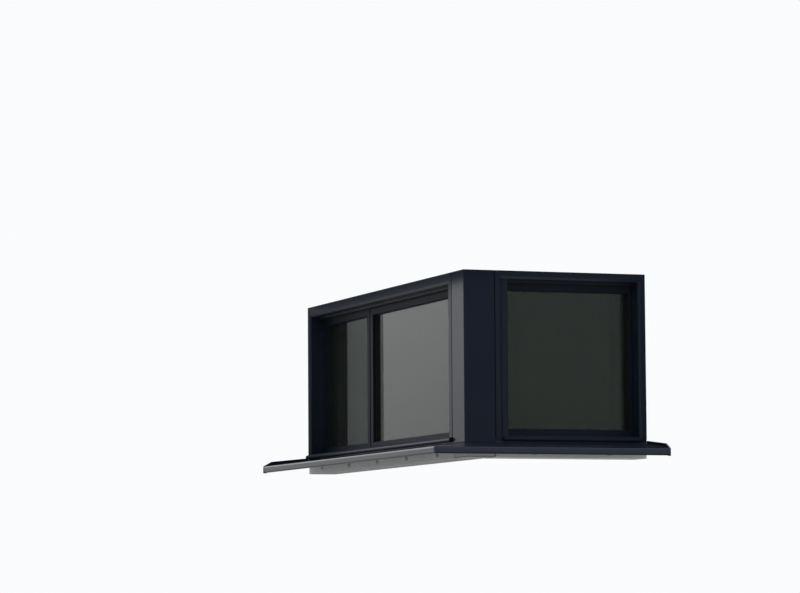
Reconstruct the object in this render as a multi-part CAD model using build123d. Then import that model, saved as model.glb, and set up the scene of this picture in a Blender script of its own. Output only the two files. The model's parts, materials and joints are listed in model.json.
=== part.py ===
"""Corner window: two glazed units that meet at a clad steel post, on a base profile, over a folded sill."""
import math
import os

from build123d import *

# Driving sizes of the window, in millimetres
frame_height = 950
left_length = 2429
right_length = 905
small_sash_length = 846
base_height = 80

# Corner post: its faces are wider than the frames are deep by the shoulder
post_shoulder = 12
post_tube_wall = 5
post_tube_corner = 8
post_tube_margin = 30
post_plate_margin = 13.5
post_plate_thickness = 10
post_bolt_margin = 15
post_bolt_radius = 6
cover_sheet = 3
cover_bend = 4
cover_return = 30
cover_gap = 5
cover_drop_gap = 4
inner_cover_sheet = 2
inner_cover_lip = 8

# Fixed frame: widths seen from outside, then depths inwards from the lip's face
jamb_lip = 42
post_jamb_step = 38
post_jamb_step_depth = 14
head_step_depth = 62
right_head_lip = 45
right_head_step = 15
left_head_lip = 60
left_head_step = 13
bottom_lip = 40
right_bottom_step = 4
left_bottom_step = 0
bottom_step_depth = 40
lip_bevel_width = 14
lip_bevel_depth = 8
edge_rounding = 2
frame_back_gap = 2

# Sashes: their depth in the frame, how far the frame hides them, then their own section
sash_setting = 100
seal_thickness = 4
seal_width = 5
seal_inset = 1
side_overlap = 28
edge_overlap = 6
sash_width = 44
glass_cover = 20
sash_flange_depth = 19
sash_proud = 15
flange_width = 10
flange_gap = 3
meeting_gap = 12
meeting_set_back = 6
meeting_cover_width = 46
meeting_cover_thickness = 6
running_gap = 0.3

# Glass, gaskets and beads
gasket_thickness = 5
inner_gasket_thickness = 4
gasket_width = 10
gasket_show = 2
glass_edge_gap = 4
pane_outer = 6
pane_middle = 4
pane_cavity = 12
spacer_inset = 3
spacer_width = 10
bead_depth = 19
bead_set_back = 3
bead_chamfer = 6

# Sill
sill_reach = 289
sill_fall = 38
sill_nose = 38
sill_sheet = 3
sill_upstand = 25
sill_return = 10
sill_bend = 3
sill_rise_over_base = 2
sill_joint_gap = 1
joint_cover_width = 16
joint_cover_sheet = 1.5
cap_thickness = 11
cap_upstand = 28
cap_margin = 2
cap_bevel = 14
bracket_width = 30
bracket_sheet = 4
bracket_foot = 14
bracket_end_gap = 16
bracket_spacing = 520
front_set_back = 6

# Weather bar over the foot of each frame
right_bar_radius = 10
left_bar_radius = 12
bar_foot = 9
bar_back_height = 4
bar_end_gap = 2
bar_set_forward = 0.5

# Fittings
handle_plate = (28, 150, 8)
handle_neck_radius = 8
handle_neck_length = 34
handle_grip_length = 125
handle_grip_width = 20
handle_grip_thickness = 12
handle_flat = 1
hinge_radius = 4.5
hinge_length = 60
hinge_inset = 95
hinge_chamfer = 1
lug_width = 30
lug_sheet = 3
lug_reach = 80
lug_lap = 70
lug_hole_radius = 4
lug_hole_inset = 20
lug_spacing = 600

# Base profile chambers
chamber_count = 4
chamber_wall = 5

# Pieces of both legs that share one node
shared_nodes = {"hinges": "hinges", "handle": "handles", "fixing_lugs": "fixing_lugs",
                "sill_brackets": "sill_brackets", "frame_seal": "frame_seals"}

# How far a cutting block reaches past what it cuts
cut_margin = 1

# Depths that follow from what a sash holds
glass_front = sash_setting + sash_flange_depth + gasket_thickness
glass_back = glass_front + pane_outer * 2 + pane_middle + pane_cavity * 2
bead_front = glass_back + inner_gasket_thickness
sash_back = bead_front + bead_depth + bead_set_back
frame_depth = sash_back - sash_proud

# Sizes of the post that follow from the frames it joins
post_face = frame_depth + post_shoulder
post_plate = post_face - 2 * post_plate_margin
post_tube = post_plate - 2 * post_tube_margin
post_bolt_spacing = post_plate - 2 * post_bolt_margin

# Derived places
base_top = base_height
frame_top = base_height + frame_height
centre_shift = post_face / 2
sill_back = cover_sheet
sill_top_back = base_top + sill_rise_over_base
sill_slope = sill_fall / (sill_reach + sill_back)
sill_drop = sill_sheet * math.hypot(1, sill_slope)
sash_rebate = sash_width - glass_cover
flange_front = frame_depth + flange_gap
cover_back = sash_setting - seal_thickness
upstand_room = sill_rise_over_base + sill_upstand + running_gap


def sill_top(depth):
    """Height of the sill's upper face at a depth; depth grows inwards from the frame's face."""
    return sill_top_back - sill_slope * (sill_back - depth)


def rounded_face(plane, points):
    """Face on a plane from corners (a, b) or (a, b, radius)."""
    radii = [point[2] if len(point) > 2 else 0 for point in points]
    corners = [plane.from_local_coords((point[0], point[1])) for point in points]
    return make_face(FilletPolyline(*corners, radius=radii, close=True))


def upright(points, bottom, top):
    """Solid standing on a plan outline of (along, depth) corners."""
    return extrude(rounded_face(Plane.XY.offset(bottom), points), top - bottom, dir=(0, 0, 1))


def along(points, start, end):
    """Solid with a (depth, height) outline, carried along the wall."""
    return extrude(rounded_face(Plane.YZ.offset(start), points), end - start, dir=(1, 0, 0))


def block(low, high):
    """Box between two corners."""
    size = [b - a for a, b in zip(low, high)]
    return Pos(*low) * Box(*size, align=(Align.MIN, Align.MIN, Align.MIN))


def frame_outline(lip, step, step_depth, overlap):
    """Section of a frame bar as (distance in from the unit's edge, depth): lip, step, cover and rebate."""
    cover = lip + step
    back = cover - overlap - frame_back_gap
    outline = [(0, 0), (lip - lip_bevel_width, 0), (lip, lip_bevel_depth, edge_rounding)]
    if step > 0:
        outline += [(lip, step_depth), (cover, step_depth, edge_rounding)]
    return outline + [(cover, cover_back, edge_rounding), (back, cover_back),
                      (back, frame_depth), (0, frame_depth)]


def frame_bars(length, head, bottom):
    """Jambs run through; head and bottom bar, given as (lip, step), are coped between them."""
    start = post_face
    end = post_face + length
    foot_room = block((start - cut_margin, -cut_margin, base_top - cut_margin),
                      (end + cut_margin, front_set_back, base_top + upstand_room))
    post_side = frame_outline(jamb_lip, post_jamb_step, post_jamb_step_depth, side_overlap)
    wall_side = frame_outline(jamb_lip, 0, 0, side_overlap)
    top_bar = frame_outline(*head, head_step_depth, edge_overlap)
    low_bar = frame_outline(*bottom, bottom_step_depth, edge_overlap)
    jamb_post = upright([(start + p[0], *p[1:]) for p in post_side], base_top, frame_top) - foot_room
    jamb_end = upright([(end - p[0], *p[1:]) for p in wall_side], base_top, frame_top) - foot_room
    head_bar = along([(p[1], frame_top - p[0], *p[2:]) for p in top_bar], start, end)
    bottom_bar = along([(p[1], base_top + p[0], *p[2:]) for p in low_bar], start, end) - foot_room
    return {"frame_head": head_bar - jamb_post - jamb_end, "frame_bottom": bottom_bar - jamb_post - jamb_end,
            "frame_jamb_post": jamb_post, "frame_jamb_end": jamb_end}


def sash_outline(with_flange):
    """Section of a sash bar as (distance in from the sash's edge, depth)."""
    lip_back = sash_setting + sash_flange_depth
    front = [(0, sash_setting, edge_rounding), (sash_width, sash_setting, edge_rounding),
             (sash_width, lip_back), (sash_rebate, lip_back), (sash_rebate, sash_back, edge_rounding)]
    if with_flange:
        return front + [(-flange_width, sash_back, edge_rounding), (-flange_width, flange_front),
                        (0, flange_front)]
    return front + [(0, sash_back)]


def sash_bars(low, high, bottom, top, flange_low=True, flange_high=True):
    """Four mitred bars: the stiles at the low and high ends, then the bottom and top rails."""
    reach_low = flange_width if flange_low else 0
    reach_high = flange_width if flange_high else 0
    wide = sash_width
    past = flange_width
    depth_low = sash_setting - cut_margin
    depth_high = sash_back + cut_margin

    def mitre(points):
        wire = Plane.XZ.offset(-depth_high)
        face = make_face(Polyline(*[wire.from_local_coords(point) for point in points], close=True))
        return extrude(face, depth_high - depth_low, dir=(0, -1, 0))

    stile_low = upright([(low + p[0], *p[1:]) for p in sash_outline(flange_low)],
                        bottom - past, top + past)
    stile_high = upright([(high - p[0], *p[1:]) for p in sash_outline(flange_high)],
                         bottom - past, top + past)
    rail = sash_outline(True)
    rail_bottom = along([(p[1], bottom + p[0], *p[2:]) for p in rail], low - reach_low, high + reach_high)
    rail_top = along([(p[1], top - p[0], *p[2:]) for p in rail], low - reach_low, high + reach_high)
    trapezoid_bottom = mitre([(low - past, bottom - past), (high + past, bottom - past),
                              (high - wide, bottom + wide), (low + wide, bottom + wide)])
    trapezoid_top = mitre([(low - past, top + past), (high + past, top + past),
                           (high - wide, top - wide), (low + wide, top - wide)])
    stile_low = stile_low - trapezoid_bottom - trapezoid_top
    stile_high = stile_high - trapezoid_bottom - trapezoid_top
    return {"stiles": Compound([stile_low.solid(), stile_high.solid()]),
            "rails": Compound([(rail_bottom & trapezoid_bottom).solid(), (rail_top & trapezoid_top).solid()])}


def ring(low, high, bottom, top, width, front, back):
    """Rectangular ring of a given bar width."""
    outer = block((low, front, bottom), (high, back, top))
    return outer - block((low + width, front - cut_margin, bottom + width),
                         (high - width, back + cut_margin, top - width))


def glazing(low, high, bottom, top):
    """Three panes, their spacers, the gaskets and the inner beads of one sash."""
    edge = sash_rebate + glass_edge_gap
    panes = []
    spacers = []
    front = glass_front
    for thickness in (pane_outer, pane_middle, pane_outer):
        back = front + thickness
        panes.append(block((low + edge, front, bottom + edge), (high - edge, back, top - edge)))
        if back < glass_back:
            inset = edge + spacer_inset
            spacers.append(ring(low + inset, high - inset, bottom + inset, top - inset,
                                spacer_width, back, back + pane_cavity))
        front = back + pane_cavity
    hidden = sash_width + gasket_show - gasket_width
    sides = (low + hidden, high - hidden, bottom + hidden, top - hidden)
    outer_gasket = ring(*sides, gasket_width, glass_front - gasket_thickness, glass_front)
    inner_gasket = ring(*sides, gasket_width, glass_back, bead_front)
    beads = ring(low + sash_rebate, high - sash_rebate, bottom + sash_rebate, top - sash_rebate,
                 glass_cover, bead_front, bead_front + bead_depth)
    beads = chamfer(beads.faces().sort_by(Axis.Y)[-1].inner_wires()[0].edges(), bead_chamfer)
    return {"glass": Compound([pane.solid() for pane in panes]),
            "spacers": Compound([spacer.solid() for spacer in spacers]),
            "gaskets": Compound([outer_gasket.solid(), inner_gasket.solid()]),
            "beads": beads}


def frame_seal(low, high, bottom, top):
    """Rubber ring between the back of the frame's cover and the sash's face."""
    return ring(low, high, bottom, top, seal_width, cover_back, sash_setting)


def weather_bar(start, end, radius):
    """Half-round drip bar on the foot of the frame, with a flat back."""
    low = base_top + sill_rise_over_base + bar_foot
    middle = low + radius
    top = middle + radius + bar_back_height
    front = -radius * bar_set_forward
    section = make_face(Polyline((0, top), (0, low), (front, low))
                        + CenterArc((front, middle), radius, 90, 180)
                        + Polyline((front, middle + radius), (0, top)))
    return extrude(Plane.YZ.offset(start) * section, end - start, dir=(1, 0, 0))


def handle(along_place, height, face):
    """Window handle on the room side: plate, neck and a lever that hangs down."""
    wide, tall, thick = handle_plate
    plate = block((along_place - wide / 2, face, height - tall / 2),
                  (along_place + wide / 2, face + thick, height + tall / 2))
    plate = fillet(plate.edges().filter_by(Axis.Y), wide / 2 - handle_flat)
    neck_base = Plane((along_place, face + thick, height + tall / 4), z_dir=(0, 1, 0))
    neck = extrude(neck_base * Circle(handle_neck_radius), handle_neck_length)
    grip_depth = face + thick + handle_neck_length
    grip = block((along_place - handle_grip_width / 2, grip_depth - handle_grip_thickness,
                  height + tall / 4 - handle_grip_length),
                 (along_place + handle_grip_width / 2, grip_depth,
                  height + tall / 4 + handle_grip_width / 2))
    grip = fillet(grip.edges().filter_by(Axis.Y), handle_grip_width / 2 - handle_flat)
    grip = fillet(grip.edges().filter_by(Axis.Z), handle_grip_thickness / 2 - handle_flat)
    return plate + neck + grip


def hinges(unit_end, bottom, top):
    """Two barrels on the room side of the sash's flange, inside the unit's end."""
    centre = unit_end - hinge_radius - running_gap
    depth = sash_back + hinge_radius + running_gap
    barrels = []
    for low in (bottom + hinge_inset, top - hinge_inset - hinge_length):
        barrel = Pos(centre, depth, low) * Cylinder(
            hinge_radius, hinge_length, align=(Align.CENTER, Align.CENTER, Align.MIN))
        barrels.append(chamfer(barrel.edges(), hinge_chamfer).solid())
    return Compound(barrels)


def fixing_lugs(length):
    """Flat straps on the outer side of the end jamb, drilled behind the frame."""
    end = post_face + length
    middle = base_top + frame_height / 2
    lugs = []
    for height in (middle - lug_spacing / 2, middle + lug_spacing / 2):
        lug = block((end, frame_depth - lug_lap, height - lug_width / 2),
                    (end + lug_sheet, frame_depth + lug_reach, height + lug_width / 2))
        hole = Plane((end - cut_margin, frame_depth + lug_reach - lug_hole_inset, height), z_dir=(1, 0, 0))
        lugs.append((lug - extrude(hole * Circle(lug_hole_radius), lug_sheet + 2 * cut_margin)).solid())
    return Compound(lugs)


def base_profile(length):
    """Chambered profile under one frame."""
    start = post_face
    body = block((start, front_set_back, 0), (start + length, frame_depth, base_height))
    pitch = (frame_depth - front_set_back - chamber_wall) / chamber_count
    for index in range(chamber_count):
        low = front_set_back + chamber_wall + index * pitch
        body -= block((start - cut_margin, low, chamber_wall),
                      (start + length + cut_margin, low + pitch - chamber_wall, base_height - chamber_wall))
    return body


def sill(length):
    """Folded sill sheet: upstand, sloping tread, nose and drip return, mitred at the corner."""
    nose = -sill_reach
    nose_top = sill_top(nose)
    nose_bottom = nose_top - sill_nose
    inner = nose + sill_sheet
    outline = [
        (sill_back, sill_top_back + sill_upstand), (sill_back, sill_top_back, sill_bend / 2),
        (nose, nose_top, sill_bend), (nose, nose_bottom, sill_bend / 2),
        (nose + sill_return, nose_bottom), (nose + sill_return, nose_bottom + sill_sheet),
        (inner, nose_bottom + sill_sheet), (inner, sill_top(inner) - sill_drop),
        (sill_back + sill_sheet, sill_top(sill_back + sill_sheet) - sill_drop, sill_bend),
        (sill_back + sill_sheet, sill_top_back + sill_upstand),
    ]
    far = post_face + length
    sheet = along(outline, nose, far)
    past = nose - cut_margin
    joint = sill_joint_gap / math.sqrt(2)
    keep = upright([(past, past - joint), (far + cut_margin, past - joint),
                    (far + cut_margin, far + cut_margin - joint)], -cut_margin, frame_top)
    return sheet & keep


def sill_cap(length):
    """End cap of the sill with a raised edge whose front is bevelled down to the nose."""
    nose = -sill_reach - cap_margin
    outline = [
        (nose, sill_top(nose) - sill_nose - cap_margin, cap_margin),
        (nose, sill_top(nose) + cap_margin, cap_margin),
        (nose + cap_bevel, sill_top(nose) + cap_upstand - cap_margin, cap_margin * 2),
        (sill_back, sill_top(sill_back) + cap_upstand),
        (sill_back, sill_top(sill_back) - sill_nose / 2),
        (nose + sill_nose, sill_top(nose) - sill_nose / 2 - cap_margin),
        (nose + sill_nose / 2, sill_top(nose) - sill_nose - cap_margin),
    ]
    end = post_face + length
    return along(outline, end, end + cap_thickness)


def sill_brackets(length):
    """Bent straps on the front of the base that carry the deep sill."""
    count = max(2, round(length / bracket_spacing))
    pitch = length / count
    end = -sill_reach + bracket_end_gap
    foot = front_set_back - bracket_sheet
    under = sill_drop + bracket_sheet * math.hypot(1, sill_slope)
    outline = [
        (front_set_back, bracket_foot), (foot, bracket_foot), (foot, sill_top(foot) - under, bracket_sheet),
        (end, sill_top(end) - under), (end, sill_top(end) - sill_drop),
        (foot, sill_top(foot) - sill_drop), (front_set_back, sill_top(foot) - sill_drop - bracket_sheet),
    ]
    straps = []
    for index in range(count):
        place = post_face + (index + 0.5) * pitch
        straps.append(along(outline, place - bracket_width / 2, place + bracket_width / 2).solid())
    return Compound(straps)


def joint_cover():
    """Cover over the nose at the sill's mitre, folded round the corner."""
    nose = -sill_reach
    low = sill_top(nose) - sill_nose
    high = sill_top(nose) - sill_bend
    out = nose - joint_cover_sheet
    reach = nose + joint_cover_width
    outline = [(out, out), (reach, out), (reach, nose), (nose, nose), (nose, reach), (out, reach)]
    return upright(outline, low, high)


def post_core():
    """Square steel tube with drilled foot and head plates."""
    middle = post_face / 2
    tube_low = post_plate_thickness
    tube_high = frame_top - post_plate_thickness
    ring_face = RectangleRounded(post_tube, post_tube, post_tube_corner) - RectangleRounded(
        post_tube - 2 * post_tube_wall, post_tube - 2 * post_tube_wall, post_tube_corner - post_tube_wall)
    tube = extrude(Plane((middle, middle, tube_low)) * ring_face, tube_high - tube_low)
    plate_face = Rectangle(post_plate, post_plate) - [
        Pos(x * post_bolt_spacing / 2, y * post_bolt_spacing / 2) * Circle(post_bolt_radius)
        for x in (-1, 1) for y in (-1, 1)]
    foot = extrude(Plane((middle, middle, 0)) * plate_face, post_plate_thickness)
    head = extrude(Plane((middle, middle, tube_high)) * plate_face, post_plate_thickness)
    return foot + tube + head


def post_insulation():
    """Rigid insulation between the steel tube and the covers."""
    inner = post_face - cover_gap - cover_sheet
    outline = [(front_set_back, front_set_back), (inner, front_set_back), (inner, cover_return),
               (post_face, cover_return), (post_face, post_face), (cover_return, post_face),
               (cover_return, inner), (front_set_back, inner)]
    middle = post_face / 2
    body = upright(outline, post_plate_thickness, frame_top - post_plate_thickness)
    return body - block((middle - post_tube / 2, middle - post_tube / 2, 0),
                        (middle + post_tube / 2, middle + post_tube / 2, frame_top))


def post_cover_outside():
    """Folded sheet on both outer faces of the post, with returns beside the jambs."""
    end = post_face - cover_gap
    wall = cover_sheet
    outline = [
        (end, cover_return), (end, 0, cover_bend), (0, 0, cover_bend), (0, end, cover_bend),
        (cover_return, end), (cover_return, end - wall), (wall, end - wall), (wall, wall),
        (end - wall, wall), (end - wall, cover_return),
    ]
    upstand_top = sill_top_back + sill_upstand + running_gap
    behind_upstand = block((wall, wall, 0), (post_face, post_face, upstand_top))
    return upright(outline, sill_top_back + cover_drop_gap, frame_top) - behind_upstand


def post_cover_inside():
    """Folded sheet round the post's room corner, lapped on to both frames."""
    wall = inner_cover_sheet
    out = post_face + wall
    lap = post_face + inner_cover_lip
    depth = frame_depth
    outline = [
        (lap, depth), (lap, depth + wall), (out, depth + wall), (out, out), (depth + wall, out),
        (depth + wall, lap), (depth, lap), (depth, post_face), (post_face, post_face), (post_face, depth),
    ]
    return upright(outline, base_top, frame_top)


def meeting_post(place, bars, bottom, top):
    """T-shaped bar between the two sashes of the long unit, with its cover on the room side."""
    half = meeting_gap / 2 - running_gap
    web = block((place - half, sash_setting + meeting_set_back, base_top),
                (place + half, sash_back, frame_top))
    cover = block((place - meeting_cover_width / 2, sash_back, bottom),
                  (place + meeting_cover_width / 2, sash_back + meeting_cover_thickness, top))
    cover = chamfer(cover.faces().sort_by(Axis.Y)[-1].edges().filter_by(Axis.Z), edge_rounding)
    return web - bars["frame_head"] - bars["frame_bottom"] + cover


def unit(length, name, head, bottom_bar, bar_radius, bar_inset, split):
    """All pieces of one glazed unit along X, as a dictionary of node names."""
    pieces = {}
    bars = frame_bars(length, head, bottom_bar)
    for bar, solid in bars.items():
        pieces[f"{name}_{bar}"] = solid
    start = post_face
    end = post_face + length
    low = start + jamb_lip + post_jamb_step - side_overlap
    high = end - jamb_lip + side_overlap
    bottom = base_top + sum(bottom_bar) - edge_overlap
    top = frame_top - sum(head) + edge_overlap
    if split is None:
        leaves = [("sash", low, high, True, True)]
    else:
        leaves = [("fixed_light", low, split - meeting_gap / 2, True, False),
                  ("sash", split + meeting_gap / 2, high, False, True)]
        pieces[f"{name}_meeting_post"] = meeting_post(split, bars, bottom, top)
    side = side_overlap - seal_width - seal_inset
    edge = edge_overlap - seal_width - seal_inset
    pieces[f"{name}_frame_seal"] = frame_seal(low + side, high - side, bottom + edge, top - edge)
    for leaf, leaf_start, leaf_end, flange_start, flange_end in leaves:
        for part, solid in sash_bars(leaf_start, leaf_end, bottom, top, flange_start, flange_end).items():
            pieces[f"{name}_{leaf}_{part}"] = solid
        for part, solid in glazing(leaf_start, leaf_end, bottom, top).items():
            pieces[f"{name}_{leaf}_{part}"] = solid
        if leaf == "sash":
            on_cover = split is not None
            place = split if on_cover else leaf_start + (sash_rebate - flange_width) / 2
            face = sash_back + meeting_cover_thickness if on_cover else sash_back
            pieces[f"{name}_handle"] = handle(place, (bottom + top) / 2, face)
            pieces[f"{name}_hinges"] = hinges(end, bottom, top)
    pieces[f"{name}_weather_bar"] = weather_bar(start + bar_inset, end - bar_inset, bar_radius)
    pieces[f"{name}_base"] = base_profile(length)
    pieces[f"{name}_sill"] = sill(length)
    pieces[f"{name}_sill_cap"] = sill_cap(length)
    pieces[f"{name}_sill_brackets"] = sill_brackets(length)
    pieces[f"{name}_fixing_lugs"] = fixing_lugs(length)
    return pieces


def across_the_corner(shape):
    """Mirror of a piece from the right leg to the left one."""
    return mirror(shape, about=Plane((0, 0, 0), z_dir=(1, -1, 0)))


def corner_window():
    """Every node of the window, with the origin under the middle of the post."""
    left_split = post_face + left_length - small_sash_length
    right = unit(right_length, "right", (right_head_lip, right_head_step), (bottom_lip, right_bottom_step),
                 right_bar_radius, jamb_lip + running_gap, None)
    left = unit(left_length, "left", (left_head_lip, left_head_step), (bottom_lip, left_bottom_step),
                left_bar_radius, bar_end_gap, left_split)
    pieces = dict(right)
    for name, solid in left.items():
        pieces[name] = across_the_corner(solid)
    for kind, node in shared_nodes.items():
        both = [pieces.pop(f"{side}_{kind}") for side in ("left", "right")]
        pieces[node] = Compound([solid for piece in both for solid in piece.solids()])
    pieces["post_core"] = post_core()
    pieces["post_insulation"] = post_insulation()
    pieces["post_cover_outside"] = post_cover_outside()
    pieces["post_cover_inside"] = post_cover_inside()
    pieces["sill_joint_cover"] = joint_cover()
    return {name: Pos(-centre_shift, -centre_shift, 0) * solid for name, solid in pieces.items()}


os.makedirs("parts", exist_ok=True)
for node, solid in corner_window().items():
    export_step(solid, f"parts/{node}.step")
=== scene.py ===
"""The looks of a corner window: coated frames, dark panes, rubber seals, a folded sill and its fittings."""
import json
import math

import bmesh
import bpy
import numpy as np
from mathutils import Matrix, Vector


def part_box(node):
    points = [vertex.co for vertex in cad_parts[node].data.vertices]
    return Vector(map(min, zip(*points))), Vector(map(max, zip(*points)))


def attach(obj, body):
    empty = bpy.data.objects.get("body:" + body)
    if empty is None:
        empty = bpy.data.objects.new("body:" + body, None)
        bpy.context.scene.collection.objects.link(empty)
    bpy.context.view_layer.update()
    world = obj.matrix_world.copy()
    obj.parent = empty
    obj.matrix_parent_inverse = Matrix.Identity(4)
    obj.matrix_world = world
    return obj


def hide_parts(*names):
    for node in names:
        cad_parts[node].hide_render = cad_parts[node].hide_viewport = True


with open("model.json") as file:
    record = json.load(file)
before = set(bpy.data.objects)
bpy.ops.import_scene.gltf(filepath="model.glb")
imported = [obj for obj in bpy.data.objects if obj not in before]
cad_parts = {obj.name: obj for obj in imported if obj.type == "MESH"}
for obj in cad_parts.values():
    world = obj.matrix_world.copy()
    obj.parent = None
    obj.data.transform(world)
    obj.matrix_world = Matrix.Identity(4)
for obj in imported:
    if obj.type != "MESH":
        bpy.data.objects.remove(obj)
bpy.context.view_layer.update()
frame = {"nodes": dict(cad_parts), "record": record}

# The photograph's frame and the camera that was fitted to it
IMAGE_WIDTH = 800
FOCAL_PIXELS = 3393
SENSOR_WIDTH = 36.0
CAMERA_PLACE = (-6.942, -17.309, -0.757)
CAMERA_YAW = math.radians(20.616)
CAMERA_PITCH = math.radians(5.056)
CAMERA_ROLL = math.radians(-0.384)

# Places read from the solids, in metres
corner = -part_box("post_cover_outside")[0][0]
frame_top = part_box("post_core")[1][2]
base_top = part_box("right_base")[1][2]
post_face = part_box("right_frame_jamb_post")[0][0] + corner
unit_end = {"right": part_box("right_frame_jamb_end")[1][0] + corner,
            "left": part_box("left_frame_jamb_end")[1][1] + corner}
nose_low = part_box("right_sill")[0][2]
leaves = (("right", "right_sash"), ("left", "left_fixed_light"), ("left", "left_sash"))

# The sill's own sizes, in metres
SILL_UPSTAND = 0.025
SILL_BACK = 0.003
NOSE_HEIGHT = 0.038
STRAP_SPACING = 0.52

# Heights over the nose's lower edge between which its painted drip-edge shade ends, its painted fold highlight
# begins and its tread begins
NOSE_BANDS = ((0.0065, 0.0105), (0.0295, 0.0325), (0.040, 0.045))

# Shared by several looks
DUST = (0.16, 0.155, 0.145)
ORANGE_PEEL = 1400.0
PALE = (0.86, 0.86, 0.85)


def camera():
    """The photograph's camera: a long lens, below the sill and aimed slightly up."""
    data = bpy.data.cameras.new("camera")
    data.sensor_width = SENSOR_WIDTH
    data.lens = FOCAL_PIXELS / IMAGE_WIDTH * SENSOR_WIDTH
    data.clip_end = 200.0
    holder = bpy.data.objects.new("camera", data)
    bpy.context.collection.objects.link(holder)
    level = math.cos(CAMERA_PITCH)
    aim = Vector((math.sin(CAMERA_YAW) * level, math.cos(CAMERA_YAW) * level, math.sin(CAMERA_PITCH)))
    turn = aim.to_track_quat("-Z", "Y").to_matrix().to_4x4()
    holder.matrix_world = Matrix.Translation(CAMERA_PLACE) @ turn @ Matrix.Rotation(CAMERA_ROLL, 4, "Z")
    bpy.context.scene.camera = holder


class Wire:
    """A node's output that can stand in sums: every operator adds its Math node."""

    def __init__(self, nodes, socket):
        self.nodes = nodes
        self.socket = socket

    def __add__(self, other):
        return self.nodes.maths("ADD", self, other)

    def __radd__(self, other):
        return self.nodes.maths("ADD", other, self)

    def __sub__(self, other):
        return self.nodes.maths("SUBTRACT", self, other)

    def __rsub__(self, other):
        return self.nodes.maths("SUBTRACT", other, self)

    def __mul__(self, other):
        return self.nodes.maths("MULTIPLY", self, other)

    def __rmul__(self, other):
        return self.nodes.maths("MULTIPLY", other, self)


class Nodes:
    """A node tree and the few calls that fill it."""

    def __init__(self, tree):
        self.tree = tree

    def node(self, kind, settings=None, inputs=None, output=0):
        """Adds a node, sets its settings, fills its sockets and returns one output."""
        made = self.tree.nodes.new("ShaderNode" + kind)
        for key, value in (settings or {}).items():
            setattr(made, key, value)
        for key, value in (inputs or {}).items():
            self.put(made.inputs[key], value)
        return Wire(self, made.outputs[output])

    def put(self, socket, value):
        """Links a wire to a socket, or sets the socket's own value."""
        if isinstance(value, Wire):
            self.tree.links.new(value.socket, socket)
        else:
            socket.default_value = value

    def maths(self, operation, first, second=0.0):
        """One Math node on wires or numbers."""
        return self.node("Math", {"operation": operation}, {0: first, 1: second})

    def step(self, value, low, high):
        """Runs smoothly from 0 at low to 1 at high."""
        return self.node("MapRange", {"interpolation_type": "SMOOTHSTEP"},
                         {"Value": value, "From Min": low, "From Max": high})

    def parts(self, vector):
        """The x, y and z of a vector, as three wires."""
        split = self.node("SeparateXYZ", inputs={0: vector}).socket.node
        return [Wire(self, output) for output in split.outputs]

    def between(self, factor, low, high):
        """Colour that goes from low to high as factor goes from 0 to 1."""
        inputs = {0: factor, 6: low if isinstance(low, Wire) else (*low, 1.0),
                  7: high if isinstance(high, Wire) else (*high, 1.0)}
        return self.node("Mix", {"data_type": "RGBA"}, inputs, 2)


class Finish(Nodes):
    """One material and the nodes that give it its surface."""

    def __init__(self, name, metallic=0.0, ior=1.5, specular=0.5):
        self.material = bpy.data.materials.new(name)
        self.material.use_nodes = True
        super().__init__(self.material.node_tree)
        self.shader = self.tree.nodes["Principled BSDF"]
        self.shader.inputs["Metallic"].default_value = metallic
        self.shader.inputs["IOR"].default_value = ior
        self.shader.inputs["Specular IOR Level"].default_value = specular

    def place(self):
        """Object coordinates, in metres."""
        return self.node("TexCoord", output=3)

    def stretched(self, scale):
        """Object coordinates scaled along each axis."""
        return self.node("Mapping", inputs={"Vector": self.place(), "Scale": scale})

    def noise(self, scale, detail=3.0, roughness=0.5, vector=None):
        """Noise from 0 to 1 on Object coordinates, or on the vector that is given."""
        inputs = {"Vector": vector or self.place(), "Scale": scale, "Detail": detail, "Roughness": roughness}
        return self.node("TexNoise", inputs=inputs)

    def facing_up(self):
        """1 on faces that look up, 0 on upright ones and below."""
        return self.step(self.parts(self.node("NewGeometry", output=1))[2], 0.6, 0.97)

    def bump(self, height, strength, distance):
        """Normal bent by a height; distance is in metres."""
        return self.node("Bump", inputs={"Height": height, "Strength": strength, "Distance": distance})

    def surface(self, colour=None, roughness=None, normal=None):
        """Joins what varies over the surface to the shader."""
        if colour is not None:
            self.put(self.shader.inputs["Base Color"], colour if isinstance(colour, Wire) else (*colour, 1.0))
        if roughness is not None:
            self.put(self.shader.inputs["Roughness"], roughness)
        if normal is not None:
            self.put(self.shader.inputs["Normal"], normal)
        return self.material


def powder_coat(name, colour, lighter, gloss, specular):
    """Fine-grained coat on aluminium: an orange-peel bump, slight clouds of colour and dust on ledges. The
    folded cover is the smoothest, the drawn bars that hold the glass are the dullest, and the bars' copy of
    the coat has a darker colour as painted shade."""
    finish = Finish(name, specular=specular)
    clouds = finish.noise(3.0, 4.0)
    peel = finish.noise(ORANGE_PEEL, 2.0)
    specks = finish.noise(260.0, 4.0, 0.7)
    dust = finish.facing_up() * (0.05 + 0.10 * finish.step(specks, 0.45, 0.7) * clouds)
    coat = finish.between(clouds, colour, lighter)
    return finish.surface(
        colour=finish.between(dust, coat, DUST),
        roughness=gloss + 0.08 * clouds + 0.04 * specks + 0.8 * dust,
        normal=finish.bump(peel, 0.2, 0.0003))


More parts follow.
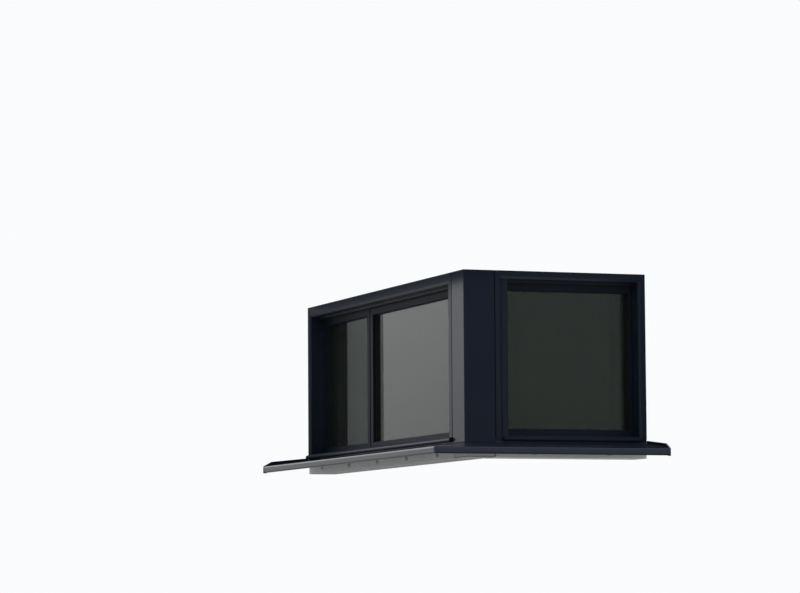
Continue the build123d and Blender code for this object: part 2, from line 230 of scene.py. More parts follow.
def sill_coat(name, colour, nose_painted_light, fold_painted_highlight, drip, along_wall):
    """The sill's coat. The tread has faint dried rain runs, fine dust and a few dried drops. The nose is
    painted paler than the tread as painted light, with a painted highlight along its upper fold and painted
    shade along its drip edge. The ends of the sill keep the tread's colour."""
    finish = Finish(name, specular=0.38)
    scale = (70.0, 3.0, 3.0) if along_wall == "x" else (3.0, 70.0, 3.0)
    clouds = finish.noise(2.0, 4.0)
    runs = finish.noise(1.0, 3.0, 0.55, finish.stretched(scale))
    grit = finish.noise(420.0, 3.0, 0.7)
    drops = finish.node("TexVoronoi", {}, {"Vector": finish.place(), "Scale": 90.0})
    rings = finish.step(drops, 0.20, 0.26) * (1 - finish.step(drops, 0.27, 0.33)) * finish.step(
        finish.noise(7.0), 0.52, 0.60)
    level = finish.facing_up()
    film = 0.01 + 0.04 * finish.step(runs, 0.40, 0.80) + 0.05 * finish.step(grit, 0.5, 0.75) + 0.05 * rings
    dust = level * film
    peel = finish.noise(ORANGE_PEEL, 2.0)
    darker = tuple(0.8 * part for part in nose_painted_light)
    height = finish.parts(finish.place())[2]
    # The nose colour is painted light, the fold colour a painted highlight and the drip colour painted shade.
    over_drip, at_fold, over_nose = [finish.step(height, nose_low + low, nose_low + high)
                                     for low, high in NOSE_BANDS]
    nose = finish.between(at_fold, finish.between(clouds, darker, nose_painted_light), fold_painted_highlight)
    normal = finish.parts(finish.node("NewGeometry", output=1))[0 if along_wall == "x" else 1]
    at_end = finish.step(finish.maths("ABSOLUTE", normal), 0.6, 0.9)
    plain = finish.maths("MAXIMUM", finish.maths("MAXIMUM", level, over_nose), at_end)
    coat = finish.between(plain, finish.between(1 - over_drip, nose, drip), colour)
    return finish.surface(
        colour=finish.between(dust, coat, DUST),
        roughness=0.26 + 0.07 * clouds + 1.2 * dust,
        normal=finish.bump(peel, 0.2, 0.0003))


def window_pane():
    """Toned float glass: light is dimmed at each pane it passes, so three panes look dark from outside. It
    has slight roller waves and a thin film of dust that lights up a little."""
    finish = Finish("window_glass", ior=1.58)
    finish.shader.inputs["Transmission Weight"].default_value = 0.97
    ripple = finish.noise(1.0, 1.0, 0.4, finish.stretched((1.6, 1.6, 4.0)))
    film = finish.noise(6.0, 4.0, 0.6)
    return finish.surface(colour=finish.between(film, (0.200, 0.225, 0.208), (0.225, 0.250, 0.233)),
                          roughness=0.004 + 0.01 * film, normal=finish.bump(ripple, 0.08, 0.003))


def moulded(name, colour, roughness=0.5, grain=900.0, depth=0.0002):
    """Moulded plastic or rubber: fine leathery grain and faint clouds."""
    finish = Finish(name)
    clouds = finish.noise(8.0, 4.0)
    skin = finish.noise(grain, 3.0, 0.6)
    darker = tuple(0.78 * part for part in colour)
    return finish.surface(colour=finish.between(clouds, darker, colour), roughness=roughness + 0.12 * skin,
                          normal=finish.bump(skin, 0.3, depth))


def galvanised(name, colour):
    """Zinc on steel: spangles of slightly different grey, and white dry stains."""
    finish = Finish(name, metallic=0.85)
    spangle = finish.node("TexVoronoi", {}, {"Vector": finish.place(), "Scale": 140.0}, 1)
    grey = finish.parts(spangle)[0]
    stains = finish.step(finish.noise(18.0, 5.0, 0.65), 0.55, 0.75)
    darker = tuple(0.72 * part for part in colour)
    zinc = finish.between(grey, darker, colour)
    return finish.surface(colour=finish.between(stains * 0.4, zinc, (0.62, 0.62, 0.60)),
                          roughness=0.32 + 0.14 * grey + 0.2 * stains,
                          normal=finish.bump(finish.noise(500.0, 3.0), 0.15, 0.0002))


def rigid_foam():
    """Cut rigid foam: small open cells in a grey body."""
    finish = Finish("insulation_foam")
    cells = finish.node("TexVoronoi", {}, {"Vector": finish.place(), "Scale": 420.0})
    clouds = finish.noise(20.0, 4.0)
    return finish.surface(colour=finish.between(clouds, (0.50, 0.50, 0.51), (0.62, 0.62, 0.63)),
                          roughness=0.85 + 0.1 * clouds, normal=finish.bump(cells, 0.6, 0.0008))


def brushed(name, colour):
    """Satin aluminium: fine upright brush lines and a few fingerprints."""
    finish = Finish(name, metallic=1.0)
    lines = finish.noise(1.0, 3.0, 0.6, finish.stretched((900.0, 900.0, 30.0)))
    smears = finish.step(finish.noise(45.0, 4.0), 0.5, 0.7)
    darker = tuple(0.86 * part for part in colour)
    return finish.surface(colour=finish.between(lines, darker, colour),
                          roughness=0.26 + 0.12 * lines + 0.1 * smears,
                          normal=finish.bump(lines, 0.12, 0.0001))


materials = {
    "frame_coating": powder_coat("frame_coating", (0.0034, 0.0082, 0.0215),
                                 (0.0044, 0.0100, 0.0250), 0.27, 0.5),
    "cover_coating": powder_coat("cover_coating", (0.0034, 0.0082, 0.0235),
                                 (0.0044, 0.0100, 0.0270), 0.17, 0.6),
    # The bars' copy of the coat has a darker colour: painted shade of the recess they sit in.
    "bar_coating_painted_shade": powder_coat("bar_coating_painted_shade", (0.0030, 0.0070, 0.0190),
                               (0.0038, 0.0086, 0.0215), 0.44, 0.32),
    # Lit and shaded copies of one sill coat: the nose colours are painted light (the left much lighter), the
    # fold colours painted highlights and the drip colours painted shade.
    "sill_left": sill_coat("sill_coating_left_painted_light_and_shade", (0.0060, 0.0105, 0.0240), (0.094, 0.100, 0.106),
                           (0.34, 0.35, 0.375), (0.004, 0.004, 0.004), "y"),
    "sill_right": sill_coat("sill_coating_right_painted_light_and_shade", (0.0060, 0.0105, 0.0240), (0.030, 0.037, 0.061),
                            (0.040, 0.048, 0.074), (0.015, 0.015, 0.016), "x"),
    "window_glass": window_pane(),
    "black_rubber": moulded("black_rubber", (0.008, 0.008, 0.009), 0.55),
    "edge_spacer": moulded("edge_spacer", (0.06, 0.062, 0.068), 0.4, 2000.0, 0.0001),
    "base_plastic": moulded("base_plastic", (0.76, 0.76, 0.75), 0.45, 300.0, 0.0001),
    "post_steel": galvanised("post_steel", (0.50, 0.51, 0.52)),
    "insulation_foam": rigid_foam(),
    "handle_metal": brushed("handle_metal", (0.62, 0.62, 0.61)),
    "zinc_steel": galvanised("zinc_steel", (0.56, 0.58, 0.60)),
    "grey_sealant": moulded("grey_sealant", (0.035, 0.038, 0.043), 0.42, 120.0, 0.0002),
    "damping_strip": moulded("damping_strip", (0.015, 0.015, 0.016), 0.7, 260.0, 0.0006),
}
slots = {part["node"]: part["material_slot"] for part in frame["record"]["subparts"]}


def look_of(node):
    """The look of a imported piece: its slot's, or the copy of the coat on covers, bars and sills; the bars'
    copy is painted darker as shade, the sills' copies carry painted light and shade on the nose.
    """
    if slots[node] == "sill_coating":
        return "sill_left" if node.startswith("left") else "sill_right"
    if node.startswith("post_cover"):
        return "cover_coating"
    if node.endswith(("_rails", "_stiles", "_beads")):
        return "bar_coating_painted_shade"
    return slots[node]


for node, piece in frame["nodes"].items():
    piece.data.materials.clear()
    piece.data.materials.append(materials[look_of(node)])


def on_leg(side, along, depth, height):
    """Turns (along the wall, inwards, up) from the outer corner into the row's frame, for either unit."""
    along, depth, height = np.broadcast_arrays(along, depth, height)
    first, second = (along, depth) if side == "right" else (depth, along)
    return np.stack([first - corner, second - corner, height], axis=-1)


def grid_faces(rows, columns, close_rows=False):
    """Quads of a grid that is closed round its columns, and round its rows where asked."""
    row = np.arange(rows if close_rows else rows - 1)[:, None]
    column = np.arange(columns)[None, :]
    next_row = (row + 1) % rows
    next_column = (column + 1) % columns
    quads = [row * columns + column, row * columns + next_column,
             next_row * columns + next_column, next_row * columns + column]
    return np.stack(np.broadcast_arrays(*quads), axis=-1).reshape(-1, 4).tolist()


def tube(points):
    """Shell over a grid of rings (rings, points round, 3); both ends are closed flat."""
    rows, columns = points.shape[:2]
    ends = [list(range(columns)), list(range((rows - 1) * columns, rows * columns))]
    return points.reshape(-1, 3), grid_faces(rows, columns) + ends


def hoop(points):
    """Shell over a grid of rings that comes back to its first ring."""
    rows, columns = points.shape[:2]
    return points.reshape(-1, 3), grid_faces(rows, columns, True)


def add_piece(name, shells, slot, look=None, smooth=35, replaces=()):
    """One mesh from shells: doubles merged, normals turned outwards, edges over an angle kept sharp."""
    counts = np.cumsum([0] + [len(points) for points, _ in shells])
    points = np.concatenate([points for points, _ in shells])
    faces = [[index + start for index in face] for (_, shell), start in zip(shells, counts) for face in shell]
    mesh = bpy.data.meshes.new(name)
    mesh.from_pydata(points.tolist(), [], faces)
    shape = bmesh.new()
    shape.from_mesh(mesh)
    bmesh.ops.remove_doubles(shape, verts=shape.verts, dist=1e-6)
    bmesh.ops.recalc_face_normals(shape, faces=shape.faces)
    shape.to_mesh(mesh)
    shape.free()
    mesh.shade_smooth()
    mesh.set_sharp_from_angle(angle=math.radians(smooth))
    mesh.materials.append(materials[look or slot])
    holder = bpy.data.objects.new(name, mesh)
    bpy.context.collection.objects.link(holder)
    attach(holder, "root")
    if replaces:
        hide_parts(*replaces)
    return holder


def oval(wide, deep, count=12):
    """Closed oval profile: u = wide/2 cos a, v = deep/2 sin a."""
    angle = np.linspace(0, 2 * np.pi, count, endpoint=False)
    return np.stack([wide / 2 * np.cos(angle), deep / 2 * np.sin(angle)], axis=-1)


def rectangle_ring(side, low, high, bottom, top, profile, depth):
    """Profile (outwards, inwards) carried round an upright rectangle; its corners are mitred, because each
    corner point moves by the same u along the wall and up."""
    along_sign = np.array([-1, 1, 1, -1])[:, None]
    up_sign = np.array([-1, -1, 1, 1])[:, None]
    along = np.array([low, high, high, low])[:, None] + along_sign * profile[None, :, 0]
    height = np.array([bottom, bottom, top, top])[:, None] + up_sign * profile[None, :, 0]
    return hoop(on_leg(side, along, depth + profile[None, :, 1], height))


def run_along(side, stations, profile):
    """Profile (depth, height) carried straight along the wall through the given stations."""
    stations = np.asarray(stations, dtype=float)[:, None]
    return tube(on_leg(side, stations, profile[None, :, 0], profile[None, :, 1]))


def upright_run(side, bottom, top, profile):
    """Profile (along, depth) carried straight up."""
    heights = np.array([bottom, top])[:, None]
    return tube(on_leg(side, profile[None, :, 0], profile[None, :, 1], heights))


def turned(centre, axis, profile, count, lobes=0):
    """Surface of revolution: point = centre + r cos a e1 + r sin a e2 + h axis. Points of the profile with a
    third value w have r (1 + w cos lobes a), which gives a star-shaped recess."""
    axis = np.asarray(axis, dtype=float)
    first = np.cross(axis, (0.3, 0.5, 0.8))
    first /= np.linalg.norm(first)
    second = np.cross(axis, first)
    angle = np.linspace(0, 2 * np.pi, count, endpoint=False)[None, :]
    radius, height, wave = [column[:, None] for column in np.asarray(profile, dtype=float).T]
    radius = radius * (1 + wave * np.cos(lobes * angle))
    points = (np.asarray(centre) + (radius * np.cos(angle))[..., None] * first
              + (radius * np.sin(angle))[..., None] * second
              + (height * np.ones_like(angle))[..., None] * axis)
    return tube(points)


def screw(centre, axis, radius):
    """Pan head with a rounded rim, a washer under it and a six-lobed recess: a turned profile whose first
    two values are shares of the head's radius."""
    head = np.array([(0.05, -0.2, 0), (1.55, -0.2, 0), (1.6, -0.05, 0), (1.6, 0.10, 0), (1.5, 0.18, 0),
                     (1.02, 0.18, 0), (1.0, 0.45, 0), (0.92, 0.62, 0), (0.72, 0.74, 0), (0.52, 0.78, 0.10),
                     (0.46, 0.74, 0.16), (0.42, 0.40, 0.16), (0.05, 0.38, 0)])
    return turned(centre, axis, head * (radius, radius, 1), 36, 6)


def hexagon_bolt(centre, axis, radius):
    """Hexagonal head with a chamfered top on a washer: r (1 + w cos 6a) comes near a hexagon. The profile's
    first two values are shares of the head's radius."""
    head = np.array([(0.05, -0.2, 0), (1.75, -0.2, 0), (1.8, 0.02, 0), (1.8, 0.14, 0), (1.7, 0.2, 0),
                     (1.0, 0.2, 0.07), (1.0, 0.74, 0.07), (0.9, 0.86, 0.02), (0.05, 0.88, 0)])
    return turned(centre, axis, head * (radius, radius, 1), 36, 6)


def out_of(side):
    """Direction along the wall, away from the corner, for either unit."""
    return np.array([1.0, 0, 0]) if side == "right" else np.array([0, 1.0, 0])


def inwards(side):
    """Direction into the room for either unit."""
    return np.array([0, 1.0, 0]) if side == "right" else np.array([1.0, 0, 0])


def leg_box(side, node):
    """A node's box as (along, depth, height) lows and highs from the outer corner."""
    low, high = [np.array(edge) + (corner, corner, 0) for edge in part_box(node)]
    order = [0, 1, 2] if side == "right" else [1, 0, 2]
    return low[order], high[order]


def gasket_lips():
    """Rubber lips that press on the panes, outside and inside: an oval carried round every light."""
    show = 0.010
    wide, deep = 0.0044, 0.0046
    outwards, off_glass = 0.0008, 0.0018
    for side, leaf in leaves:
        low, high = leg_box(side, f"{leaf}_gaskets")
        glass_low, glass_high = leg_box(side, f"{leaf}_glass")
        shells = []
        for depth, bulge in ((glass_low[1], -1), (glass_high[1], 1)):
            lip = oval(wide, deep) + (outwards, bulge * off_glass)
            shells.append(rectangle_ring(side, low[0] + show, high[0] - show, low[2] + show, high[2] - show,
                                         lip, depth))
        add_piece(f"{leaf}_gasket_lips", shells, "black_rubber")


def seal_bulbs():
    """Round bulb on the seal between frame and sash: an oval carried round the frame's opening, just in
    front of the foremost sash."""
    inset_from_frame = 0.0015
    in_front = 0.0022
    for side in ("right", "left"):
        names = [leaf for place, leaf in leaves if place == side]
        front = min(leg_box(side, f"{leaf}_stiles")[0][1] for leaf in names)
        outer_low = leg_box(side, f"{side}_frame_jamb_post")[1][0]
        outer_high = leg_box(side, f"{side}_frame_jamb_end")[0][0]
        bottom = leg_box(side, f"{side}_frame_bottom")[1][2]
        top = leg_box(side, f"{side}_frame_head")[0][2]
        bulb = rectangle_ring(side, outer_low + inset_from_frame, outer_high - inset_from_frame,
                              bottom + inset_from_frame, top - inset_from_frame,
                              oval(0.0042, 0.0046), front - in_front)
        add_piece(f"{side}_seal_bulb", [bulb], "black_rubber")


def weather_bar_caps():
    """Low domed plastic caps on both ends of each drip bar: rings of the bar's own section, a little wider
    than it, that are drawn in towards its middle as they come out."""
    back_height = 0.004
    back = -0.0001
    over = 0.0006
    reach = np.array([-0.004, 0.0, 0.0006, 0.0011, 0.0014, 0.0015])
    shrink = np.array([1.0, 1.0, 0.97, 0.9, 0.75, 0.3])
    for side in ("right", "left"):
        low, high = leg_box(side, f"{side}_weather_bar")
        radius = (high[2] - low[2] - back_height) / 2
        centre_depth = low[1] + radius
        centre_height = low[2] + radius
        angle = np.linspace(0.5 * np.pi, 1.5 * np.pi, 14)
        arc = np.stack([centre_depth + (radius + over) * np.cos(angle),
                        centre_height + (radius + over) * np.sin(angle)], axis=-1)
        outline = np.concatenate([[(back, low[2] + 2 * radius + back_height)], arc,
                                  [(back, low[2] - 0.0005)]])
        middle = outline.mean(axis=0)
        shells = []
        for end, way in ((low[0], -1), (high[0], 1)):
            rings = middle + (outline - middle)[None] * shrink[:, None, None]
            shells.append(tube(on_leg(side, (end + way * reach)[:, None], rings[..., 0], rings[..., 1])))
        add_piece(f"{side}_weather_bar_caps", shells, "black_rubber", smooth=50)


def post_joint_seals():
    """Rubber beads set back in the joints between the post's cover and the two jambs: an oval carried
    straight up each joint."""
    set_back = 0.0075
    shells = []
    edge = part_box("post_cover_outside")[1][0] + corner
    for side in ("right", "left"):
        bead = oval(0.0066, 0.006, 14) + ((edge + post_face) / 2, set_back)
        shells.append(upright_run(side, base_top + 0.03, frame_top - 0.0005, bead))
    add_piece("post_joint_seals", shells, "black_rubber")


def fillet_profile(size, count=7):
    """Concave quarter fillet: from (size, 0) to (0, size) round a centre at (size, size)."""
    angle = np.linspace(-0.5 * np.pi, -np.pi, count)
    arc = np.stack([size + size * np.cos(angle), size + size * np.sin(angle)], axis=-1)
    return np.concatenate([arc, [(-0.0004, -0.0004)]])


def sill_height(depth):
    """Height of the sill's upper face: a straight fall from the foot of the upstand to the nose's top."""
    low, high = leg_box("right", "right_sill")
    nose_top = low[2] + NOSE_HEIGHT
    back_top = high[2] - SILL_UPSTAND
    share = (depth - low[1]) / (SILL_BACK - low[1])
    return nose_top + (back_top - nose_top) * share


def sill_sealant():
    """Sealant fillets, a hollow quarter arc carried straight: along the foot of the upstand, and down the
    tread where it meets the caps."""
    fillet = fillet_profile(0.0045)
    shells = []
    for side in ("right", "left"):
        end = unit_end[side]
        foot = np.stack([SILL_BACK - fillet[:, 0], sill_height(SILL_BACK) + fillet[:, 1]], axis=-1)
        shells.append(run_along(side, [SILL_BACK, end], foot))
        nose = leg_box(side, f"{side}_sill")[0][1]
        depths = np.array([nose + 0.004, 0.0025])[:, None]
        heights = sill_height(depths) + fillet[None, :, 1]
        shells.append(tube(on_leg(side, end - fillet[None, :, 0], depths, heights)))
    add_piece("sill_sealant", shells, "black_rubber", "grey_sealant")


def rounded(outline, radius, count=5):
    """Closed outline with eased corners: each corner b becomes b + (1 - t)^2 p + t^2 q, where p and q point
    back and forth along its two edges and are one radius long."""
    before = np.roll(outline, 1, axis=0) - outline
    after = np.roll(outline, -1, axis=0) - outline
    before *= radius / np.linalg.norm(before, axis=1, keepdims=True)
    after *= radius / np.linalg.norm(after, axis=1, keepdims=True)
    t = np.linspace(0, 1, count)[None, :, None]
    return (outline[:, None] + (1 - t) ** 2 * before[:, None] + t ** 2 * after[:, None]).reshape(-1, 2)


def inset(outline, distance):
    """Closed outline moved inwards: each point goes by (m + n) / (1 + m n) with its two edges' normals."""
    edge = np.roll(outline, -1, axis=0) - outline
    edge /= np.linalg.norm(edge, axis=1, keepdims=True)
    normal = np.stack([-edge[:, 1], edge[:, 0]], axis=-1)
    last = np.roll(normal, 1, axis=0)
    return outline + distance * (normal + last) / (1 + (normal * last).sum(axis=1, keepdims=True))


def sill_end_caps():
    """End caps of the sill: an outline with eased corners that is carried along the wall. Its two faces end in
    a hollow quarter arc, x^2 + y^2 = e^2, with x the way from the face and y how far the outline is drawn in.
    The rim rises a little towards a long bevel over the nose."""
    ease = 0.0012
    corner_radius = 0.002
    bevel = 0.052
    turn_under = 0.019
    rim_back, rim_front, rim_nose = 0.017, 0.0245, 0.003
    for side in ("right", "left"):
        low, high = leg_box(side, f"{side}_sill_cap")
        nose, back = low[1], high[1]
        outline = np.array([(nose, low[2]), (nose + turn_under, low[2]),
                            (nose + 2 * turn_under, low[2] + turn_under),
                            (back, sill_height(back) - turn_under), (back, sill_height(back) + rim_back),
                            (nose + bevel, sill_height(nose + bevel) + rim_front),
                            (nose, sill_height(nose) + rim_nose)])
        outline = rounded(outline, corner_radius)
        draw = np.sqrt(1 - np.linspace(1, 0, 4) ** 2)
        reach = np.concatenate([ease * draw, (high[0] - low[0]) - ease * draw[::-1]]) + low[0]
        drawn_in = ease * (1 - np.linspace(0, 1, 4))
        drawn_in = np.concatenate([drawn_in, drawn_in[::-1]])
        rings = np.stack([inset(outline, distance) for distance in drawn_in])
        cap = tube(on_leg(side, reach[:, None], rings[..., 0], rings[..., 1]))
        add_piece(f"{side}_sill_end_cap", [cap], "sill_coating", f"sill_{side}", smooth=40,
                  replaces=(f"{side}_sill_cap",))


def strap_row(side):
    """How many straps carry the sill on a side, and how far apart they are."""
    length = unit_end[side] - post_face
    count = max(2, round(length / STRAP_SPACING))
    return count, length / count


def damping_strips():
    """Soft strips glued under the sill's tread between the straps: a flat bar whose two faces follow the
    fall, carried straight along the wall."""
    clearance = 0.03
    past_corner = 0.12
    depths = np.linspace(-0.215, -0.075, 8)
    under = sill_height(depths) - 0.0031
    top_line = np.stack([depths, under + 0.0002], axis=-1)
    low_line = np.stack([depths[::-1], under[::-1] - 0.0024], axis=-1)
    outline = np.concatenate([top_line, low_line])
    shells = []
    for side in ("right", "left"):
        count, pitch = strap_row(side)
        straps = post_face + (np.arange(count) + 0.5) * pitch
        firsts = [post_face - past_corner, *(straps + clearance)]
        lasts = [*(straps - clearance), unit_end[side] - clearance]
        for first, last in zip(firsts, lasts):
            shells.append(run_along(side, [first, last], outline))
    add_piece("damping_strips", shells, "black_rubber", "damping_strip")


def base_ribs():
    """Shallow ribs along the base profiles: v = h sin^2 over each rib's height, carried straight."""
    pitch = 0.014
    tall = 0.003
    proud, sunk, root = 0.0009, 0.0002, 0.0006
    turn = np.linspace(0, np.pi, 7)
    for side in ("right", "left"):
        low, high = leg_box(side, f"{side}_base")
        shells = []
        for depth, way in ((low[1], -1), (high[1], 1)):
            for height in np.arange(low[2] + 0.012, high[2] - 0.008, pitch):
                rib = np.stack([depth + way * (proud * np.sin(turn) ** 2 - sunk),
                                height + tall * (turn / np.pi - 0.5)], axis=-1)
                outline = np.concatenate([rib, [(depth - way * root, height)]])
                shells.append(run_along(side, [low[0] + 0.0005, high[0] - 0.0005], outline))
        add_piece(f"{side}_base_ribs", shells, "base_plastic")


def fixings():
    """Screws on the lugs and hexagon heads on the feet of the sill straps, each turned round its axis."""
    lug_sheet = 0.003
    lug_from_middle = 0.3
    strap_face = 0.002
    middle = (base_top + frame_top) / 2
    shells = []
    for side in ("right", "left"):
        lug_place = unit_end[side] + lug_sheet
        depth = leg_box(side, f"{side}_frame_jamb_end")[1][1]
        for height in (middle - lug_from_middle, middle + lug_from_middle):
            for back in (0.020, 0.052):
                shells.append(screw(on_leg(side, lug_place, depth - back, height), out_of(side), 0.0038))
        count, pitch = strap_row(side)
        for index in range(count):
            place = post_face + (index + 0.5) * pitch
            for height in (0.026, 0.050):
                centre = on_leg(side, place, strap_face, height)
                shells.append(hexagon_bolt(centre, -inwards(side), 0.0048))
    add_piece("fixing_screws", shells, "zinc_steel")


def hinge_rings():
    """Collars with chamfered edges on the hinge barrels, turned round their upright axes. The profile's
    first two values are shares of the collar's radius and of half its height."""
    radius = 0.0045
    running_gap = 0.0003
    from_rail = 0.010
    collar = np.array([(0.2, -1, 0), (0.94, -1, 0), (1, -0.6, 0), (1, 0.6, 0), (0.94, 1, 0), (0.2, 1, 0)])
    shells = []
    for side in ("right", "left"):
        centre = unit_end[side] - radius - running_gap
        depth = leg_box(side, f"{side}_sash_stiles")[1][1] + radius + running_gap
        low, high = leg_box(side, f"{side}_sash_rails")
        for low_end in (low[2] + from_rail + 0.095, high[2] - from_rail - 0.155):
            for height, size in ((0.0, 1.0), (0.02, 0.6), (0.04, 0.6), (0.06, 1.0)):
                ring = collar * (radius * 1.05, 0.002 * size, 1)
                shells.append(turned(on_leg(side, centre, depth, low_end + height), (0, 0, 1), ring, 24))
    add_piece("hinge_rings", shells, "handle_metal")


def handle_places():
    """Side, place along the wall, face and middle height of each handle: one on the right sash's stile, one
    on the strip that covers the gap between the two left lights."""
    places = []
    for side, leaf in (("right", "right_sash"), ("left", "left_sash")):
        low, high = leg_box(side, f"{leaf}_stiles")
        along, face = low[0] + 0.017, high[1]
        if side == "left":
            low, high = leg_box(side, "left_meeting_post")
            along, face = (low[0] + high[0]) / 2, high[1]
        low, high = leg_box(side, f"{leaf}_rails")
        places.append((side, along, face, (low[2] + high[2]) / 2))
    return places


def rosette(side, along, face, middle, thick):
    """Long plate with round ends: a straight stretch plus a rounded end, drawn in as it rises."""
    wide, tall = 0.014, 0.075
    angle = np.linspace(0, 2 * np.pi, 48, endpoint=False)
    cos, sin = np.cos(angle), np.sin(angle)
    rise = np.array([0.0, 0.6, 0.85, 0.97, 1.0, 1.0])[:, None] * thick
    shrink = np.array([1.0, 1.0, 0.97, 0.90, 0.80, 0.05])[:, None]
    straight = np.sign(sin) * (tall - wide) * (np.abs(sin) > 1e-9)
    u = along + wide * np.sign(cos) * np.abs(cos) ** 0.9 * shrink
    v = middle + straight + sin * wide * shrink
    return tube(on_leg(side, u, face + rise, v))


def lever(side, along, foot, neck_height):
    """Bent lever: a rounded oval, |u/a|^n + |v/b|^n = 1, that goes from round at the neck to flat at the
    grip, along a path of a straight neck, a quarter arc and a long run down. It is cut flat at the furthest
    depth."""
    bend = 0.012
    reach = 0.036
    furthest = 0.042
    grip_length = 0.101
    angle = np.linspace(0, 2 * np.pi, 48, endpoint=False)
    cos, sin = np.cos(angle), np.sin(angle)
    neck = np.linspace(0, reach - bend, 5)
    arc = np.linspace(0, np.pi / 2, 9)[1:]
    grip = np.linspace(0, grip_length, 22)[1:]
    out_path = np.concatenate([neck, reach - bend + bend * np.sin(arc), np.full(len(grip), reach)])[:, None]
    up_path = np.concatenate([np.zeros(len(neck)), -bend * (1 - np.cos(arc)), -bend - grip])[:, None]
    tilt = np.concatenate([np.zeros(len(neck)), arc, np.full(len(grip), np.pi / 2)])[:, None]
    share = np.linspace(0, 1, len(out_path))[:, None]
    half_wide = 0.0078 + 0.0020 * np.clip((share - 0.2) / 0.4, 0, 1)
    half_thick = 0.0078 - 0.0022 * np.clip((share - 0.1) / 0.4, 0, 1)
    end_dome = np.sqrt(1 - np.clip((share - 0.93) / 0.07, 0, 0.995) ** 2)
    power = 2 / (2 + 0.8 * np.clip(share * 2, 0, 1))
    ring_u = half_wide * end_dome * np.sign(cos) * np.abs(cos) ** power
    ring_v = half_thick * end_dome * np.sign(sin) * np.abs(sin) ** power
    depth = np.minimum(foot + out_path + ring_v * np.sin(tilt), foot + furthest)
    height = neck_height + up_path + ring_v * np.cos(tilt)
    return tube(on_leg(side, along + ring_u, depth, height))


def window_handles():
    """Rosette, turned collar, two screws and a bent lever for each handle."""
    thick = 0.008
    neck_over_middle = 0.0375
    collar = [(0.001, -0.001, 0), (0.0120, -0.001, 0), (0.0120, 0.002, 0), (0.0112, 0.0032, 0),
              (0.0088, 0.0040, 0), (0.001, 0.0040, 0)]
    shells = []
    for side, along, face, middle in handle_places():
        foot = face + thick
        neck_height = middle + neck_over_middle
        shells.append(rosette(side, along, face, middle, thick))
        shells.append(turned(on_leg(side, along, foot, neck_height), inwards(side), collar, 32))
        for offset in (0.0589, -0.0551):
            shells.append(screw(on_leg(side, along, foot, middle + offset), inwards(side), 0.0022))
        shells.append(lever(side, along, foot, neck_height))
    add_piece("window_handles", shells, "handle_metal", smooth=40, replaces=("handles",))


def joint_lines():
    """Hairlines of sealant at the butt joints of the frames' heads: a flat oval carried up each joint."""
    from_end = 0.028
    shells = []
    for side in ("right", "left"):
        for edge in (post_face + from_end, unit_end[side] - from_end):
            line = oval(0.0008, 0.0003, 8) + (edge, 0.0)
            shells.append(upright_run(side, frame_top - 0.032, frame_top - 0.0005, line))
    add_piece("frame_joint_lines", shells, "black_rubber")


gasket_lips()
seal_bulbs()
weather_bar_caps()
post_joint_seals()
sill_sealant()
sill_end_caps()
damping_strips()
base_ribs()
fixings()
hinge_rings()
window_handles()
joint_lines()


def stage_sheet(name, points):
    """One flat sheet of the studio."""
    mesh = bpy.data.meshes.new(name)
    mesh.from_pydata(points, [], [(0, 1, 2, 3)])
    sheet = bpy.data.objects.new(name, mesh)
    bpy.context.collection.objects.link(sheet)
    return sheet


def stage_floor():
    """Pale floor that keeps the object's shadow, that the camera looks through from below and that fades out
    far away. Panes show it evenly pale, mirrors a shade dimmer, and the light from below passes it, so that
    the sill's underside isn't black."""
    size = 60.0
    fade_start, fade_end = 5.0, 24.0
    floor = stage_sheet("floor", [(-size, -size, 0), (size, -size, 0), (size, size, 0), (-size, size, 0)])
    finish = Finish("floor")
    camera_ray = finish.node("LightPath", output=0)
    finish.surface(colour=PALE, roughness=0.9)
    clear = finish.node("BsdfTransparent")
    glossy = finish.node("LightPath", output=3)
    pale = finish.node("Emission", inputs={0: (*PALE, 1.0), 1: 0.9 - 0.45 * glossy})
    lit = finish.node("MixShader", inputs={0: camera_ray, 1: pale, 2: Wire(finish, finish.shader.outputs[0])})
    from_below = finish.node("NewGeometry", output=6) * camera_ray
    reach = finish.node("VectorMath", {"operation": "LENGTH"}, {0: finish.place()}, 1)
    hidden = finish.maths("MAXIMUM", from_below, finish.step(reach, fade_start, fade_end))
    mix = finish.node("MixShader", inputs={0: hidden, 1: lit, 2: clear})
    finish.put(finish.tree.nodes["Material Output"].inputs[0], mix)
    floor.data.materials.append(finish.material)
    floor.visible_diffuse = False
    floor.visible_shadow = False


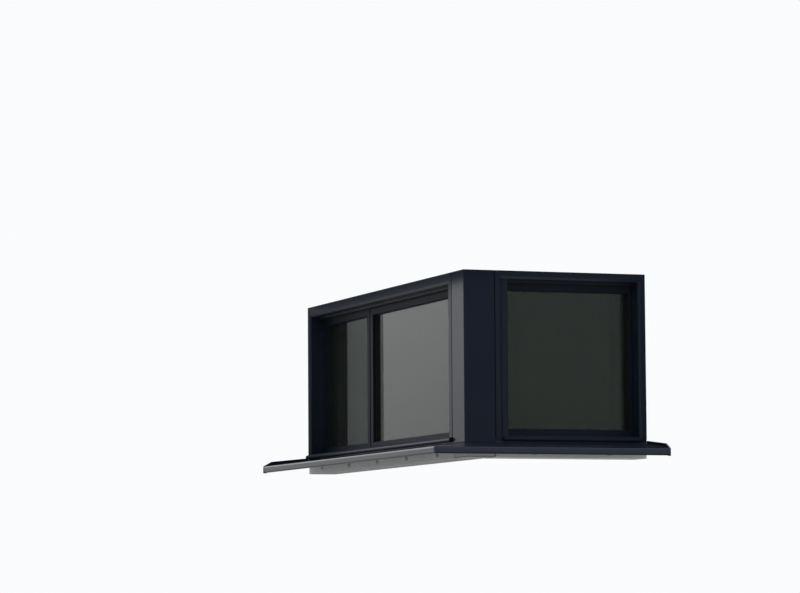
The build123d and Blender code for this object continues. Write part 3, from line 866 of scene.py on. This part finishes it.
def shading_cards():
    """Dark cards above and beside the window, as a photographer sets them: only mirrors see them, and they
    keep the sky off the head and the ends, as the opening that such a window stands in does. They put painted
    shade into the mirrors, and the paler card at the left end a painted reflection of the opening's side wall."""
    reach = 0.25
    front = -corner
    low, high = base_top, frame_top
    ends = {side: unit_end[side] - corner for side in unit_end}
    cards = {
        "card_over_left": ([(front, front - reach, high), (front, ends["left"], high),
                            (front - reach, ends["left"], high), (front - reach, front - reach, high)], 0.10),
        "card_over_right": ([(front - reach, front - reach, high), (ends["right"], front - reach, high),
                             (ends["right"], front, high), (front, front, high)], 0.10),
        "card_left": ([(front - reach, ends["left"], low), (front, ends["left"], low),
                       (front, ends["left"], high), (front - reach, ends["left"], high)], 0.40),
        "card_right": ([(ends["right"], front - reach, low), (ends["right"], front, low),
                        (ends["right"], front, high), (ends["right"], front - reach, high)], 0.10)}
    for name, (points, shade) in cards.items():
        card = stage_sheet(name, points)
        finish = Finish(name)
        card.data.materials.append(finish.surface(colour=(shade, shade, shade), roughness=0.9))
        card.visible_camera = False
        card.visible_diffuse = False
        card.visible_transmission = False
        card.visible_shadow = False


def studio():
    """Pale world: white behind the object, also where panes and metal mirror it, and dimmer in mirrors on the
    camera's side, where it lightens with height; two soft boxes give the general light from the left and the
    front."""
    world = bpy.data.worlds.new("studio")
    bpy.context.scene.world = world
    world.use_nodes = True
    nodes = Nodes(world.node_tree)
    north, up = nodes.parts(nodes.node("TexCoord", output=0))[1:]
    glossy = nodes.node("LightPath", output=3)
    seen = nodes.maths("MAXIMUM", nodes.node("LightPath", output=0), nodes.node("LightPath", output=6))
    behind = nodes.step(north, -0.1, 0.8)
    horizon = 0.46 + 0.54 * nodes.step(up, 0.0, 0.15)
    in_front = 0.04 + 0.12 * nodes.step(up, 0.03, 0.15)
    mirrored = in_front + (1 - in_front) * behind * horizon
    below = nodes.step(0 - up, 0.0, 0.05)
    spread = 0.86 - 0.42 * below
    strength = seen + (1 - seen) * (glossy * mirrored + (1 - glossy) * spread)
    background = nodes.tree.nodes["Background"]
    background.inputs[0].default_value = (0.96, 0.97, 0.98, 1)
    nodes.put(background.inputs[1], strength)
    boxes = (("left_box", (-8, 3.0, 6), (0, 0.8, 0.5), 180),
             ("front_box", (2, -8, 6), (0, 0, 0.5), 90))
    for name, place, aim, power in boxes:
        lamp = bpy.data.lights.new(name, "AREA")
        lamp.size = 4.0
        lamp.energy = power
        holder = bpy.data.objects.new(name, lamp)
        holder.location = place
        holder.rotation_mode = "QUATERNION"
        holder.rotation_quaternion = (Vector(aim) - Vector(place)).to_track_quat("-Z", "Y")
        holder.visible_camera = False
        holder.visible_glossy = False
        bpy.context.collection.objects.link(holder)


stage_floor()
shading_cards()
studio()
camera()
bpy.context.scene.view_settings.view_transform = "Standard"
